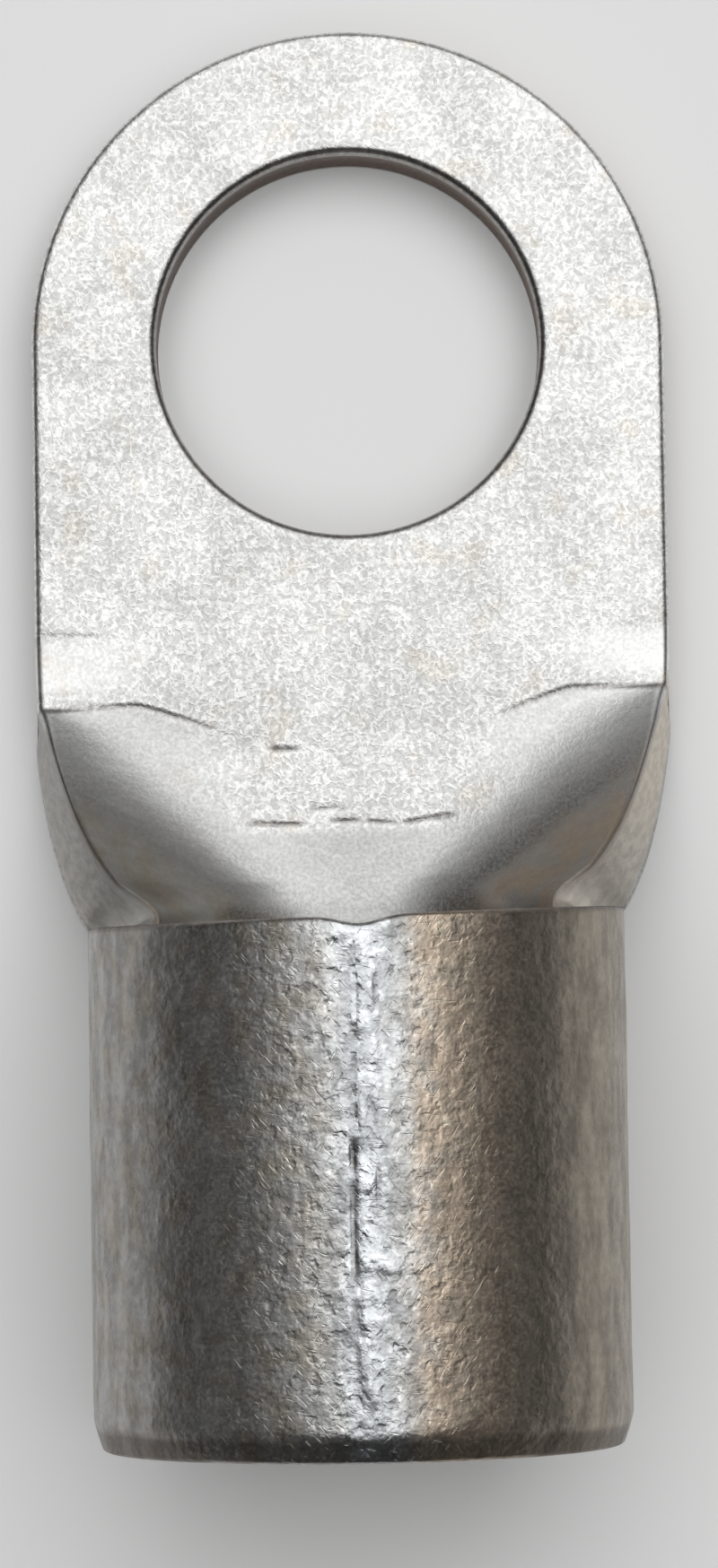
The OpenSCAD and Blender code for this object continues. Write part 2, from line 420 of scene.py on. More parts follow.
def mottle(a, b, period, seed):
    """A smooth random surface between -1 and 1."""
    knots = np.random.default_rng(seed).uniform(-1, 1, (256, 256))
    p, q = np.asarray(a) / period + 128, np.asarray(b) / period + 128
    i, j = np.floor(p).astype(int), np.floor(q).astype(int)
    f, g = smooth01(p - i), smooth01(q - j)
    low = knots[i, j] * (1 - f) + knots[i + 1, j] * f
    high = knots[i, j + 1] * (1 - f) + knots[i + 1, j + 1] * f
    return low * (1 - g) + high * g


def between(v, low, high, soft=0.15):
    return smooth01((v - low) / soft) * smooth01((high - v) / soft)


print("a wandering line:", wander([0.0, 0.5, 1.0], 1.0, 3).round(2).tolist())

# %% The seam and the dents beside it
# Each gap: from y, to y, depth. Each bead: s, y, half-width across, half-length, height.
SEAM_GAPS = [
    (-29.5, -28.0, 0.02), (-31.3, -30.6, 0.07), (-32.9, -32.1, 0.05), (-35.2, -33.0, 0.03),
    (-36.7, -35.3, 0.15), (-41.0, -36.9, 0.1), (-42.9, -41.6, 0.07), (-44.5, -43.1, 0.05),
]
GAP_SOFT = 0.3
STOP_S, STOP_SIGMA = 0.75, 0.08
BRAZE_STOPS = [(-30.2, -28.6, 0.04), (-34.8, -33.9, 0.05), (-37.9, -36.2, 0.05)]
BEADS = [
    (1.1, -40.26, 0.34, 0.2, 0.07), (1.9, -40.22, 0.6, 0.1, 0.03), (0.38, -30.66, 0.25, 0.34, 0.05),
    (0.18, -34.2, 0.22, 0.5, 0.05), (1.42, -32.27, 0.18, 0.18, 0.04),
    (-0.62, -26.95, 0.4, 0.3, 0.05),
    (1.12, -26.9, 0.4, 0.3, 0.05), (0.42, -37.1, 0.2, 0.2, 0.05), (1.16, -37.24, 0.2, 0.16, 0.05),
    (-0.7, -41.1, 0.25, 0.18, 0.05), (0.25, -27.4, 0.5, 0.5, 0.03), (1.35, -35.8, 0.2, 0.2, 0.04),
    (0.0, -47.55, 0.35, 0.18, 0.07), (0.5, -45.3, 0.2, 0.2, 0.04), (0.9, -44.2, 0.18, 0.2, 0.04),
]


def beads(s, y):
    """Height of the tin beads that stand along the seam, in millimetres."""
    height = np.zeros(np.broadcast(s, y).shape)
    for bead_s, bead_y, half_s, half_y, top_height in BEADS:
        across, along = (s - bead_s) / half_s, (y - bead_y) / half_y
        height += top_height * np.exp(-(across**2) - along**2)
    return height


def seam_line(y):
    """Where the dark line of the butt seam wanders, as a distance round from the top."""
    return -0.2 + 0.05 * wander(y, 2.3, 11)


def seam_relief(s, y):
    """How far the outside stands proud beside the seam, in millimetres."""
    line = seam_line(y)
    gap = sum(depth * between(y, low, high, GAP_SOFT) for low, high, depth in SEAM_GAPS)
    stop = sum(depth * between(y, low, high) for low, high, depth in BRAZE_STOPS)
    relief = -0.6 * gap * np.exp(-(((s - line) / 0.11) ** 2))
    relief -= stop * np.exp(-(((s - STOP_S) / STOP_SIGMA) ** 2))
    relief += 0.03 * between(s, line + 0.1, 0.95, 0.25) * (0.7 + 0.3 * wander(y, 0.7, 12))
    relief += 0.022 * np.exp(-((s / 1.5) ** 2)) * mottle(s, y, 0.42, 13)
    return relief + beads(s, y)


def drum_marks(s, y):
    """Shallow dents and waves over the whole outside of the barrel and the neck."""
    dents = np.minimum(0, mottle(s, y, 0.8, 21) + 0.45) * 0.02
    return 0.02 * mottle(s, y, 3.1, 22) + 0.008 * mottle(s, y, 0.9, 23) + dents


def crease_line(u):
    """How far along the lug the crease lies, at the distance u from the centreline."""
    inner = np.minimum(palm_half - crease_inset, np.abs(u) + 1.1)
    return crease_y - 0.15 - neck_l / crease_rate * np.log((palm_half - crease_inset) / inner)


def crease_marks(u, y):
    """The thin line that the bending punch left along the crease, and the lip above it."""
    line = crease_line(u)
    share = smooth01((np.abs(u) - 4.5) / 4.5) * (0.9 + 0.1 * wander(u, 1.3, 33))
    dip = 0.045 * np.exp(-(((y - line) / 0.1) ** 2))
    lip = 0.02 * np.exp(-(((y - line - 0.22) / 0.12) ** 2))
    return (dip - lip) * share


def punch_marks(u, y):
    """How deep the punch marked the upper face of the neck, in millimetres."""
    strokes = [(-4.95, -2.05, -21.13, -21.33, 0.05), (-2.1, -0.2, -20.62, -20.66, 0.025),
               (-1.3, 0.4, -21.19, -21.25, 0.04), (0.3, 2.0, -21.25, -21.44, 0.04),
               (1.9, 4.55, -21.44, -21.08, 0.05), (-3.95, -2.3, -17.94, -17.97, 0.05),
               (-13.8, -10.9, -12.66, -12.78, 0.02), (-13.7, -11.4, -15.04, -15.08, 0.015)]
    depth = np.zeros_like(u)
    for u_0, u_1, y_0, y_1, deep in strokes:
        line = y_0 + (y_1 - y_0) * clamp01((u - u_0) / (u_1 - u_0))
        depth += deep * between(u, u_0, u_1, 0.5) * np.exp(-(((y - line) / 0.09) ** 2))
    return depth + crease_marks(u, y)


gap_probe = -seam_relief(np.array([-0.2]), np.array([-38.0]))
print("depth of the seam's gap, mm:", gap_probe.round(3).tolist())

# %% [markdown]
# ## Two skins and the metal between them
# The upper skin is the bent blank itself. The lower one lies a sheet's thickness below it,
# along the normal, so that the outside of the barrel is longer round than its bore, as on
# real sheet. Both dip towards the cut edges: the punch draws the upper skin in by a third of
# a millimetre round the palm and by half of that down the neck, and the drum wears the lower.

# %% Bend the two skins
palm_roll, neck_roll, edge_break, edge_outer = 0.35, 0.16, 0.15, 0.3
blank = np.array(blank_points)
u, y, to_edge = blank.T
upper_base, normal = bend(u, y)
t = np.minimum(1.0, (crease_y - y) / neck_l)


def edge_drop(d, r):
    d = np.minimum(d, r)
    return r - np.sqrt(np.maximum(0.0, r * r - (r - d) ** 2))


in_neck = stretch(t)
edge_roll = palm_roll + (neck_roll - palm_roll) * smooth01(t * 4)
thickness = sheet_t * (1 - edge_thinning * in_neck * clamp01(np.abs(u) / face_half(t)) ** 2)
worn = np.maximum(in_neck, smooth01((t - 0.5) * 4) * 0.3)
outer_r = edge_break + (edge_outer - edge_break) * worn
s = past_seam(u)
relief = (seam_relief(s, y) + drum_marks(s, y)) * smooth01((t - 0.85) / 0.15)
relief += drum_marks(u, y) * (1 - smooth01((t - 0.85) / 0.15)) * smooth01((t + 0.2) / 0.2)
waves = 0.012 * mottle(u, y, 2.6, 31) + 0.006 * mottle(u, y, 1.1, 32)
top = upper_base - normal * (edge_drop(to_edge, edge_roll) + punch_marks(u, y) - waves)[:, None]
low = upper_base - normal * (thickness + relief - edge_drop(to_edge, outer_r))[:, None]
low[:, 2] = np.maximum(low[:, 2], 0.0)
print("points of one skin:", len(blank))

# %% Roll the barrel's outside and its bore
end_round_l, end_round_drop, entry_chamfer = 1.4, 0.42, 0.35
outer_rows, bore_rows = 84, 20
collar_ids = np.array(collar[:-1])
collar_u, collar_y = u[collar_ids], y[collar_ids]
collar_s, turn = past_seam(collar_u), collar_u / bore_r


def barrel_ring(r, at_y):
    return np.stack([r * np.sin(turn), at_y, barrel_r - r * np.cos(turn)], 1)


round_l = end_round_l - 0.45 * np.maximum(0, 1 - np.abs(collar_s - 0.1) / 3.6)
round_l += 0.08 * wander(collar_s, 1.7, 41)
outside, bore = [], []
for i in range(1, outer_rows + 1):
    at_y = collar_y + (cable_end_y + round_l - collar_y) * i / outer_rows
    proud = seam_relief(collar_s, at_y) + drum_marks(collar_s, at_y)
    outside.append((barrel_ring(barrel_r + proud, at_y), at_y))
last_proud = proud
for f in (0.08, 0.16, 0.28, 0.42, 0.58, 0.74, 0.88, 0.94):
    at_y = cable_end_y + round_l * (1 - f)
    proud = last_proud * (1 - f) + seam_relief(collar_s, at_y) * f
    outside.append((barrel_ring(barrel_r + proud - end_round_drop * f**1.3, at_y), at_y))
for drop, back in ((0.46, 0.03), (0.53, 0.0), (1.2, 0.0), (1.9, 0.0)):
    at_y = np.full_like(turn, cable_end_y + back)
    outside.append((barrel_ring(barrel_r - drop + 0 * turn, at_y), at_y - drop))
chamfer_rings = (
    (entry_chamfer + 0.04, 0.0), (entry_chamfer - 0.02, 0.03), (0.04, entry_chamfer - 0.05),
)
for grow, back in chamfer_rings:
    at_y = np.full_like(turn, cable_end_y + back)
    outside.append((barrel_ring(bore_r + grow + 0 * turn, at_y), at_y - sheet_t + grow))
for i in range(1, bore_rows + 1):
    at_y = collar_y + (cable_end_y + entry_chamfer + 0.05 - collar_y) * i / bore_rows
    bore.append((barrel_ring(bore_r + 0 * turn, at_y), at_y))
print("rings outside and round the end:", len(outside), "and in the bore:", len(bore))

# %% Put the skins together
UPPER, LOWER, CUT = 0.0, 1.0, 2.0
n = len(blank)
n_ring = len(collar_ids)
points = [top, low]
places = [np.stack([u, y, np.full(n, UPPER)], 1), np.stack([u, y, np.full(n, LOWER)], 1)]
total = 2 * n


def add_ring(ring, at_y, side):
    """Adds a ring of points and gives their numbers, closed."""
    global total
    points.append(ring)
    places.append(np.stack([collar_u, at_y, np.full(n_ring, side)], 1))
    ids = list(range(total, total + n_ring))
    total += n_ring
    return ids + ids[:1]


faces = list(blank_faces) + [tuple(p + n for p in reversed(f)) for f in blank_faces]
previous = [p + n for p in collar]
for ring, at_y in outside:
    ids = add_ring(ring, at_y, LOWER)
    weave(ids, previous, faces)
    previous = ids
last_outside = previous
previous = collar
for ring, at_y in bore:
    ids = add_ring(ring, at_y, UPPER)
    weave(previous, ids, faces)
    previous = ids
weave(previous, last_outside, faces)
print("faces of the skins:", len(faces))

# %% Cut faces between the skins
used = {(a, b) for f in blank_faces for a, b in zip(f, f[1:] + f[:1])}
collar_pairs = set(zip(collar, collar[1:])) | set(zip(collar[1:], collar))
cut = [(a, b) for a, b in used if (b, a) not in used and (a, b) not in collar_pairs]
cut_steps = [0.12, 0.35, 0.65, 0.9]
cut_ids = {}
edge_points = sorted({a for pair in cut for a in pair})
for k, f in enumerate(cut_steps):
    ring = top[edge_points] * (1 - f) + low[edge_points] * f
    points.append(ring)
    places.append(np.stack([u[edge_points], y[edge_points], np.full(len(edge_points), CUT + f)], 1))
    for i, p in enumerate(edge_points):
        cut_ids.setdefault(p, [p]).append(total + i)
    total += len(edge_points)
for p in edge_points:
    cut_ids[p].append(p + n)
for a, b in sorted(cut):
    for a0, a1, b0, b1 in zip(cut_ids[a], cut_ids[a][1:], cut_ids[b], cut_ids[b][1:]):
        faces.append((b0, a0, a1, b1))
points, places = np.concatenate(points), np.concatenate(places)
print("points:", len(points), "faces:", len(faces))

# %% Make the mesh
skew = 0.37 * points[:, 0] / palm_half
skew *= smooth01((-10.5 - points[:, 1]) / 5) * smooth01((points[:, 1] + 36) / 8)
points[:, 1] += skew
points[:, 2] = np.maximum(points[:, 2], 0.0)
lug_mesh = bpy.data.meshes.new("tinned_lug")
lug_mesh.from_pydata((points * MM).tolist(), [], faces)
lug_mesh.polygons.foreach_set("use_smooth", [True] * len(faces))
lug_mesh.update()
lug_mesh.validate()
lug = bpy.data.objects.new("tinned_lug", lug_mesh)
bpy.context.scene.collection.objects.link(lug)
triangles = sum(len(p.vertices) - 2 for p in lug_mesh.polygons)
print("triangles:", triangles)

# %% [markdown]
# ## Where each finish belongs
# The tin looks different where the metal was worked: crystals stand on the flat palm, the
# trough was drawn smooth, the barrel was rolled and knocked about, and the cut faces were
# torn by the punch. The mesh knows which is which, so each point carries that knowledge as
# an attribute. Painting a texture would need an unwrapped map, and would blur at its seams.

# %% Find the worked zones
place_u, place_y, side = places.T
place_t = np.minimum(1.0, (crease_y - place_y) / neck_l)
from_middle, from_hole = np.abs(place_u), np.hypot(place_u, place_y)
slope = np.abs(sheet_angle(from_middle, place_t))
inside, outside_skin, is_cut = side == UPPER, side == LOWER, side >= CUT
on_barrel = smooth01((place_t - 0.9) / 0.1)
round_it = 1 + (barrel_r / bore_r - 1) * smooth01(place_t) * ~inside
rolled_s = past_seam(place_u)
drawn = smooth01((slope - math.radians(5)) / math.radians(10))
drawn = np.maximum(drawn, smooth01((-21.3 - place_y) / 0.6))
past_crease = smooth01((crease_line(place_u) - place_y) / 0.25) * smooth01((from_middle - 4.5) / 4)
drawn = np.maximum(drawn, 0.85 * past_crease) * inside
rolled = on_barrel * outside_skin
# The braze's clean tin, also painted brighter as the highlight along the barrel's top.
seam_braze_and_sheen = rolled * np.exp(-((rolled_s - 0.25) / 1.5) ** 2)
heat = rolled * smooth01((rolled_s - 1.7) / 1.0) * (1 - smooth01((rolled_s - 3.2) / 5.5))
# Painted shade: the bolt hole's wall is made dark brown.
hole_wall_shade = is_cut * (from_hole < hole_r + 1)
# The burnished strips are smoother, and are also painted lighter as a highlight.
burnish_and_sheen = smooth01((from_middle - 8.5) / 4)
burnish_and_sheen = burnish_and_sheen * between(place_y, crease_y + 0.1, -12.7, 0.8) * inside
print("share of points on the rolled outside:", float(rolled.mean().round(3)))

# %% [markdown]
# ### Dirt, and painted shade on the edges
# Grease and dark oxide darken the seam's gaps and the stops of the braze, and the punch's
# strokes are darker in proportion to their depth. Painted shade darkens the line where the
# barrel's mouth meets the neck, the barrel's rounded end and the rolled rims of the cuts. One
# number adds them all up. Beads of tin count below zero: they are rubbed bright and painted
# brighter as glints.

# %% Find the dirt and the painted shade
gap = sum(
    between(place_y, low, high, GAP_SOFT) * min(1, depth * 8) for low, high, depth in SEAM_GAPS
)
dirt_and_painted_light = 0.75 * gap * np.exp(-(((rolled_s - seam_line(place_y)) / 0.13) ** 2)) * rolled
stops = sum(between(place_y, low, high) * min(1, depth * 8) for low, high, depth in BRAZE_STOPS)
dirt_and_painted_light += stops * np.exp(-(((rolled_s - STOP_S) / STOP_SIGMA) ** 2)) * rolled
dirt_and_painted_light += clamp01(punch_marks(place_u, place_y) * 14) * inside
# Painted shade: the mouth's front edge and the cut faces under it are darkened.
mouth_gap = front_y(place_u) - place_y
at_mouth = place_y < mouth_y + 0.5
mouth_edge_shade = (from_middle > corner_half - 1.5) * outside_skin * at_mouth
dirt_and_painted_light += mouth_edge_shade * (1 - smooth01(mouth_gap / 0.3))
front_cut_shade = is_cut * (from_middle > corner_half - 0.5) * at_mouth
dirt_and_painted_light += front_cut_shade * smooth01((side - CUT - 0.6) / 0.2)
# Painted glint: the beads of tin count below zero, which lightens them.
dirt_and_painted_light -= 12 * beads(rolled_s, place_y) * rolled
# Painted shade: a dark band along the barrel's rounded end, darker on its flanks.
band_edge = cable_end_y + 1.15 + 0.1 * wander(rolled_s, 1.1, 42)
end_shade_band = smooth01((band_edge - place_y) / 0.4)
end_shade_band = end_shade_band * smooth01((place_y - cable_end_y + 0.9) / 0.4) * outside_skin
dirt_and_painted_light += end_shade_band * (0.6 + 0.25 * smooth01((np.abs(rolled_s) - 6) / 3))
# Painted shade: a dark ring on the rolled rim round the bolt hole.
dirt_and_painted_light += 0.7 * (1 - smooth01((from_hole - hole_r - 0.12) / 0.25)) * inside
from_rim = np.full(len(places), FAR)
from_rim[: 2 * n] = np.tile(to_edge, 2)
# Painted shade: a dark line along the neck's rolled rims, in place of their highlight.
neck_rim_shade = (1 - smooth01((from_rim - 0.02) / 0.22)) * smooth01(place_t * 6)
neck_rim_shade *= smooth01((place_y - mouth_y + 0.3) / 0.4)
dirt_and_painted_light += neck_rim_shade * (0.42 + 0.23 * smooth01((place_y - corner_top_y + 0.8) / 0.8))
print("dirtiest and brightest:", float(dirt_and_painted_light.max().round(2)), float(dirt_and_painted_light.min().round(2)))


# %% Keep the zones on the mesh
def keep(name, domain, *three):
    """Stores three numbers for each point, or for each corner of a face."""
    values = np.stack(three, 1).astype(np.float32)
    kept = lug_mesh.attributes.new(name, "FLOAT_VECTOR", domain)
    kept.data.foreach_set("vector", values.ravel())
    print(name, "means:", values.mean(axis=0).round(3).tolist())


keep("worked_zones", "POINT", drawn, rolled, is_cut)
keep("cut_depth", "POINT", np.where(is_cut, side - CUT, outside_skin), slope, burnish_and_sheen)
keep("tin_marks_and_painted_light", "POINT", dirt_and_painted_light, heat + hole_wall_shade, seam_braze_and_sheen)

# %% [markdown]
# ### A place on the sheet for every corner of a face
# The tin's pattern is laid on the flat blank, so that it follows the bends. At the butt seam
# the pattern has to break off, and on a cut face it has to run on through the thickness. One
# number per point cannot do that, so this attribute is kept per corner of each face.

# %% Write down the places
corner_point = np.zeros(len(lug_mesh.loops), np.int32)
lug_mesh.loops.foreach_get("vertex_index", corner_point)
starts = np.zeros(len(lug_mesh.polygons), np.int32)
lug_mesh.polygons.foreach_get("loop_start", starts)
counts = np.diff(np.append(starts, len(corner_point)))


def in_face(pick, values):
    """The largest or smallest value among a face's corners, for each of its corners."""
    return np.repeat(pick.reduceat(values, starts), counts)


corner_u, corner_y = (place_u * round_it)[corner_point], place_y[corner_point]
corner_side = side[corner_point]
far_round = seam_u / 2
over_seam = in_face(np.maximum, corner_u) > far_round
over_seam &= in_face(np.minimum, corner_u) < -far_round
corner_u = np.where(over_seam, -np.abs(corner_u), corner_u)
through = np.where(corner_side >= CUT, corner_side - CUT, (corner_side == LOWER) * 1.0)
through *= sheet_t * (in_face(np.maximum, corner_side) >= CUT)
reach = np.hypot(corner_u, corner_y)
in_hole, in_tip = reach < hole_r + 1, corner_y > 0
front_share = smooth01((corner_top_y - corner_y) / corner_r)
out_u = np.where(in_tip, corner_u / reach, np.sign(corner_u) * (1 - front_share))
out_u = np.where(in_hole, -corner_u / reach, out_u)
out_y = np.where(in_hole, -corner_y / reach, np.where(in_tip, corner_y / reach, front_share))
keep("sheet_place", "CORNER", corner_u + out_u * through, corner_y + out_y * through, 0 * corner_u)

# %% [markdown]
# ## The tin
# Tinned copper is a metal with no paint on it: its colour is the tin's own pale grey and
# everything else is relief, roughness, a little stain, and painted shade and highlights. The
# shader is built up in the order in which the real finish came about: tin crystals, drawing
# streaks, dents and scratches from the drum, heat stain beside the braze, and dirt in the
# narrow gaps, which goes on together with the painted shade.

# %% Helpers for the shader
tin = bpy.data.materials.new("tinned_copper")
tin.use_nodes = True
tree = tin.node_tree
shader = tree.nodes["Principled BSDF"]


def put(value, socket):
    """Links a socket, or writes a plain value into it."""
    if isinstance(value, bpy.types.NodeSocket):
        tree.links.new(value, socket)
    else:
        socket.default_value = value


def stored(name):
    """The three numbers kept on the mesh under a name."""
    source = tree.nodes.new("ShaderNodeAttribute")
    source.attribute_name = name
    parts = tree.nodes.new("ShaderNodeSeparateXYZ")
    tree.links.new(source.outputs["Vector"], parts.inputs[0])
    return source.outputs["Vector"], *parts.outputs


def calc(operation, *values, clamp=False):
    node = tree.nodes.new("ShaderNodeMath")
    node.operation, node.use_clamp = operation, clamp
    for value, socket in zip(values, node.inputs):
        put(value, socket)
    return node.outputs[0]


def remap(value, low, high, to_low=0.0, to_high=1.0):
    node = tree.nodes.new("ShaderNodeMapRange")
    node.interpolation_type = "SMOOTHSTEP"
    for v, socket in zip((value, low, high, to_low, to_high), node.inputs):
        put(v, socket)
    return node.outputs[0]


def noise(place, grain, detail=2.0, seed=0.0, distortion=0.0):
    """Fractal noise with grains of about this many millimetres."""
    away = tree.nodes.new("ShaderNodeVectorMath")
    put(place, away.inputs[0])
    away.inputs[1].default_value = (seed * 61.3, seed * 37.1, 0)
    node = tree.nodes.new("ShaderNodeTexNoise")
    node.noise_dimensions = "2D"
    tree.links.new(away.outputs[0], node.inputs["Vector"])
    for name, v in (("Scale", 1 / grain), ("Detail", detail), ("Distortion", distortion)):
        node.inputs[name].default_value = v
    return node.outputs[0]


def turned(place, angle, along, across):
    """The place turned by an angle, then stretched into strokes of this length and width."""
    node = tree.nodes.new("ShaderNodeMapping")
    node.vector_type = "TEXTURE"
    put(place, node.inputs["Vector"])
    node.inputs["Rotation"].default_value = (0, 0, math.radians(angle))
    node.inputs["Scale"].default_value = (along, across, 1)
    return node.outputs[0]


def blend(factor, a, b):
    """A colour between a and b."""
    node = tree.nodes.new("ShaderNodeMix")
    node.data_type = "RGBA"
    put(factor, node.inputs[0])
    for value, socket in ((a, node.inputs[6]), (b, node.inputs[7])):
        put(value if isinstance(value, bpy.types.NodeSocket) else (*value, 1), socket)
    return node.outputs[2]


def scale(colour, factor):
    """A colour made lighter or darker by a factor."""
    node = tree.nodes.new("ShaderNodeVectorMath")
    node.operation = "SCALE"
    put(colour, node.inputs[0])
    put(factor, node.inputs["Scale"])
    return node.outputs[0]


place, place_x, *_ = stored("sheet_place")
_, drawn_zone, rolled_zone, cut_zone = stored("worked_zones")
_, cut_depth, slope_here, burnished_and_sheen = stored("cut_depth")
_, dirt_and_painted_light_here, heat_stain_and_hole_shade, braze_and_sheen_here = stored("tin_marks_and_painted_light")
print("nodes so far:", len(tree.nodes))

# %% [markdown]
# ### Crystals on the palm
# Hot tin freezes as a skin of fine crooked crystals, which catch the light as pale worms
# a little under half a millimetre apart. The line where a noise crosses its middle is just
# such a worm, so two of them make the bright crystals and the dark seams between them.

# %% Crystals
def worms(grain, width, seed, distortion):
    middle = calc("ABSOLUTE", calc("SUBTRACT", noise(place, grain, 2.0, seed, distortion), 0.5))
    return remap(middle, 0.0, width, 1.0, 0.0)


pale_worms = worms(0.42, 0.11, 1.0, 0.3)
dark_worms = worms(0.5, 0.12, 2.0, 0.3)
worn_smooth = calc("MAXIMUM", calc("MULTIPLY", drawn_zone, 0.7), calc("MULTIPLY", burnished_and_sheen, 0.85))
no_crystals = calc("MAXIMUM", worn_smooth, calc("MAXIMUM", rolled_zone, cut_zone))
crystal_zone = calc("SUBTRACT", 1.0, no_crystals, clamp=True)
crystals = calc("SUBTRACT", pale_worms, calc("MULTIPLY", dark_worms, 0.5))
crystals = calc("MULTIPLY", crystals, crystal_zone)
patches = noise(place, 3.6, 3.0, 3.0)
fine_grain = noise(place, 0.16, 2.0, 4.0)

# %% [markdown]
# ### Streaks, dents and scratches
# Drawing leaves streaks along the way the metal moved, and the drum leaves short strokes in
# every direction. A noise that is squeezed one way and stretched the other gives a stroke;
# three of them, turned to different angles, give the crowd. Specks of painted glint are added
# beside them. The drum knocks the barrel's top hardest, so strokes, specks and hollows fade
# away from the seam.

# %% Streaks and strokes
both_sides = tree.nodes.new("ShaderNodeVectorMath")
both_sides.operation = "ABSOLUTE"
put(place, both_sides.inputs[0])
streaks = noise(turned(both_sides.outputs[0], -17, 1.6, 0.35), 1.0, 3.0, 5.0)
both_parts = tree.nodes.new("ShaderNodeSeparateXYZ")
tree.links.new(both_sides.outputs[0], both_parts.inputs[0])
away_from_middle = both_parts.outputs[0]
seam_away = seam_u * barrel_r / bore_r
knocked = remap(away_from_middle, seam_away - 8, seam_away - 1.5, 0.12, 1.0)
strokes = 0.0
for angle, seed in ((8, 7.0), (48, 8.0), (-56, 9.0)):
    stroke = remap(noise(turned(place, angle, 0.9, 0.14), 1.0, 1.0, seed), 0.7, 0.8)
    strokes = calc("MAXIMUM", strokes, stroke)
strokes = calc("MULTIPLY", strokes, knocked)
# Painted glints: small bright spots, lightened in colour.
glint_specks = calc("MULTIPLY", remap(noise(place, 0.4, 1.0, 19.0), 0.62, 0.72), knocked)
hollows = calc("MULTIPLY", remap(noise(place, 0.62, 2.0, 20.0), 0.28, 0.46, 1.0, 0.0), knocked)
dents = noise(place, 0.5, 3.0, 12.0)
smears = noise(turned(place, 90, 2.6, 0.9), 1.0, 3.0, 13.0)
torn = noise(place, 0.45, 3.0, 14.0)

# %% [markdown]
# ### Colour of the palm and the trough
# Tin is a slightly warm pale grey. On the palm its crystals lighten it. In the trough, where
# the sheet was drawn, it is thinner and duller, and the warmth of the copper comes through.
# Places are told in millimetres across the flat sheet, so they stay put when it is bent.

# %% Palm and trough colour
TIN, DULL_TIN = (0.80, 0.80, 0.785), (0.55, 0.545, 0.525)
WARM, STAIN = (0.69, 0.615, 0.51), (0.93, 0.765, 0.60)
BRAZE_AND_SHEEN, DIRT_AND_SHADE = (0.80, 0.83, 0.86), (0.09, 0.07, 0.058)
SHADED_BARE_COPPER = (0.12, 0.072, 0.047)
palm_tone = calc("ADD", 0.87, calc("MULTIPLY", crystals, 0.28))
# Painted highlight: the burnished strips beside the neck are lighter.
palm_tone = calc("ADD", palm_tone, calc("MULTIPLY", burnished_and_sheen, 0.22))
palm_tone = calc("ADD", palm_tone, remap(patches, 0.35, 0.65, -0.06, 0.06))
palm_warmth = remap(noise(place, 2.2, 2.0, 15.0), 0.58, 0.75, 0.0, 0.35)
palm_colour = scale(blend(palm_warmth, TIN, WARM), palm_tone)
drawn_tone = calc("ADD", 0.72, remap(streaks, 0.3, 0.7, -0.03, 0.03))
drawn_tone = calc("ADD", drawn_tone, calc("MULTIPLY", crystals, 0.16))
# Painted light: the trough's right half is lighter.
drawn_tone = calc("ADD", drawn_tone, remap(place_x, 1.0, 9.0, 0.0, 0.16))
thin_patches = remap(noise(place, 1.8, 3.0, 16.0), 0.3, 0.7, 0.25, 1.0)
drawn_tint = calc("MULTIPLY", remap(slope_here, 0.2, 0.9), thin_patches)
drawn_colour = blend(drawn_tint, TIN, blend(remap(place_x, -4.0, 8.0), WARM, STAIN))
drawn_colour = scale(drawn_colour, drawn_tone)

# %% [markdown]
# ### Colour of the barrel
# Beside the seam the braze leaves a bluish, cleaner tin, painted brighter there as the top's
# highlight, and the torch leaves a brown stain to its right. The flanks are painted darker as
# shade, with a painted reflection lifting their lowest strip. One could paint these by hand,
# but as bands at a distance from the seam they can be moved by changing one number.

# %% Barrel colour
FLANK_SHADE, FLANK_REFLECTION, SEAM_CLEAN = (26.5, 30.0), (23.5, 26.0), (31.5, 33.5)
barrel_tone = remap(smears, 0.3, 0.7, 0.74, 0.92)
barrel_tone = calc("ADD", barrel_tone, remap(dents, 0.3, 0.7, -0.08, 0.08))
scratches_and_glints = calc("MULTIPLY", calc("MAXIMUM", strokes, glint_specks), 0.34)
barrel_tone = calc("ADD", barrel_tone, scratches_and_glints)
barrel_tone = calc("SUBTRACT", barrel_tone, calc("MULTIPLY", hollows, 0.18))
# Painted shade: the flanks are darker, with a painted reflection lifting their lowest strip.
flank_shade = remap(away_from_middle, *FLANK_SHADE, 0.5, 1.0)
flank_shade = calc("ADD", flank_shade, remap(away_from_middle, *FLANK_REFLECTION, 0.06, 0.0))
barrel_tone = calc("MULTIPLY", barrel_tone, flank_shade)
off_seam = remap(away_from_middle, *SEAM_CLEAN, 1.0, 0.0)
warm_side = calc("MULTIPLY", remap(place_x, -6.0, 12.0), off_seam)
warm_patches = remap(noise(place, 1.5, 3.0, 17.0), 0.35, 0.7, 0.1, 0.7)
barrel_colour = blend(calc("MAXIMUM", warm_patches, warm_side), TIN, WARM)
# Painted glint: the beads of tin are lightened.
bead_glint = calc("MULTIPLY", dirt_and_painted_light_here, -1.0, clamp=True)
barrel_tone = calc("ADD", barrel_tone, calc("MULTIPLY", bead_glint, 0.45))
stain_patches = remap(noise(place, 1.2, 2.0, 18.0), 0.25, 0.6, 0.3, 1.0)
barrel_colour = blend(calc("MULTIPLY", heat_stain_and_hole_shade, stain_patches), barrel_colour, STAIN)
# Painted highlight: the braze's bluish tin lightens the barrel's top.
barrel_colour = blend(braze_and_sheen_here, barrel_colour, BRAZE_AND_SHEEN)
barrel_colour = scale(barrel_colour, barrel_tone)
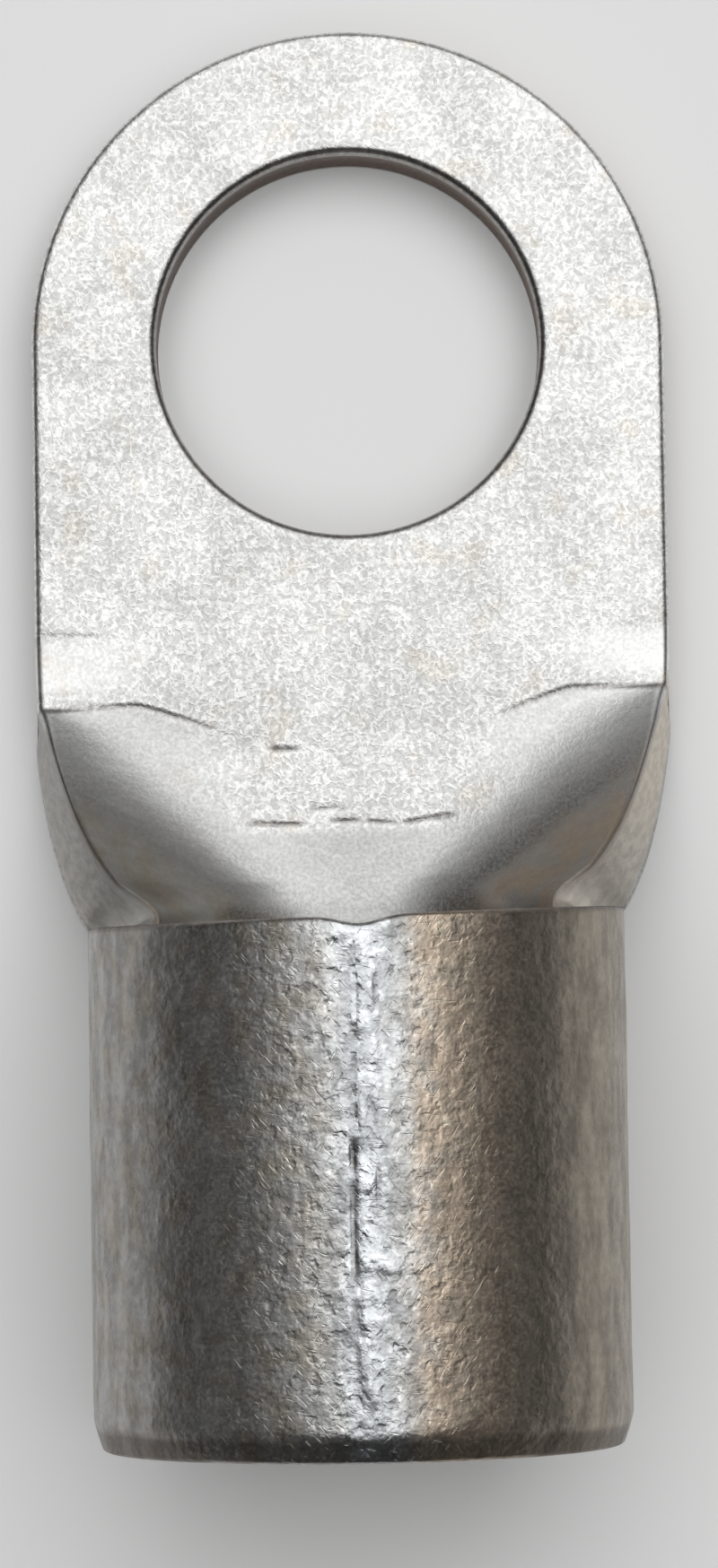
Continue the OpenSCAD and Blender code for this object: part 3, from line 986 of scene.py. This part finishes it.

# %% [markdown]
# ### Cut faces, and the whole put together
# A cut face is torn metal with a thin wipe of tin over it, painted lighter on the right and
# darker on the left as painted light, and the wall of the punched hole is bare copper gone
# brown, painted darker still as its shade. The zones then choose between the four colours, and
# dirt and painted shade go on last, since on the real lug the dirt came last.

# %% Cut faces and the mix
on_wing = remap(away_from_middle, 13.0, 22.0)
off_wing = calc("SUBTRACT", 1.0, on_wing)
# Painted light: cut faces on the right are lighter, those on the left darker.
lit_side_share = calc("MULTIPLY", remap(place_x, -12.0, 12.0), off_wing)
lit_side_share = calc("ADD", lit_side_share, calc("MULTIPLY", on_wing, 0.5))
cut_colour = blend(calc("MULTIPLY", lit_side_share, 0.7), DULL_TIN, WARM)
# Painted shade: the hole's wall darkens towards bare brown copper.
hole_shade_share = calc("MULTIPLY", heat_stain_and_hole_shade, remap(cut_depth, 0.1, 0.5, 0.8, 1.0))
cut_colour = blend(hole_shade_share, cut_colour, SHADED_BARE_COPPER)
cut_colour = scale(cut_colour, remap(torn, 0.3, 0.7, 0.88, 1.06))
cut_colour = scale(cut_colour, remap(lit_side_share, 0.0, 1.0, 0.75, 1.05))
colour = blend(drawn_zone, palm_colour, drawn_colour)
colour = blend(rolled_zone, colour, barrel_colour)
colour = blend(cut_zone, colour, cut_colour)
# Dirt and painted shade darken the colour last.
colour = blend(calc("MULTIPLY", dirt_and_painted_light_here, 0.85, clamp=True), colour, DIRT_AND_SHADE)
put(colour, shader.inputs["Base Color"])
shader.inputs["Metallic"].default_value = 1.0
print("colour is linked")

# %% [markdown]
# ### Roughness and fine relief
# The tin is matt, a little smoother beside the seam where it ran hot, and rougher on the cut
# faces. The finest marks are too small to model, so a bump node tilts the surface for them.

# %% Roughness and fine relief
rough = remap(fine_grain, 0.3, 0.7, 0.30, 0.40)
rough = calc("ADD", rough, calc("MULTIPLY", rolled_zone, remap(smears, 0.3, 0.7, 0.08, -0.02)))
rough = calc("ADD", rough, calc("MULTIPLY", cut_zone, 0.1))
rough = calc("SUBTRACT", rough, calc("MULTIPLY", braze_and_sheen_here, 0.08), clamp=True)
put(rough, shader.inputs["Roughness"])
relief_height = calc("MULTIPLY", crystals, 0.004)
drawn_relief = calc("MULTIPLY", streaks, calc("MULTIPLY", drawn_zone, 0.006))
barrel_relief = calc("SUBTRACT", calc("MULTIPLY", dents, 0.032), calc("MULTIPLY", strokes, 0.01))
barrel_relief = calc("SUBTRACT", barrel_relief, calc("MULTIPLY", hollows, 0.012))
relief_height = calc("ADD", relief_height, drawn_relief)
relief_height = calc("ADD", relief_height, calc("MULTIPLY", barrel_relief, rolled_zone))
torn_relief = calc("MULTIPLY", torn, calc("MULTIPLY", cut_zone, 0.02))
relief_height = calc("ADD", relief_height, torn_relief)
relief_height = calc("ADD", relief_height, calc("MULTIPLY", fine_grain, 0.002))
bump = tree.nodes.new("ShaderNodeBump")
bump.inputs["Distance"].default_value = MM
put(relief_height, bump.inputs["Height"])
put(bump.outputs[0], shader.inputs["Normal"])
lug.data.materials.append(tin)
print("nodes of the tin:", len(tree.nodes))

# %% [markdown]
# ## One body, one piece
# The lug has no moving part, so the whole of it rides on the one body and takes the place of
# the one node of the construction model.

# %% Tie the lug to the construction model
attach(lug, "root")
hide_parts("lug")
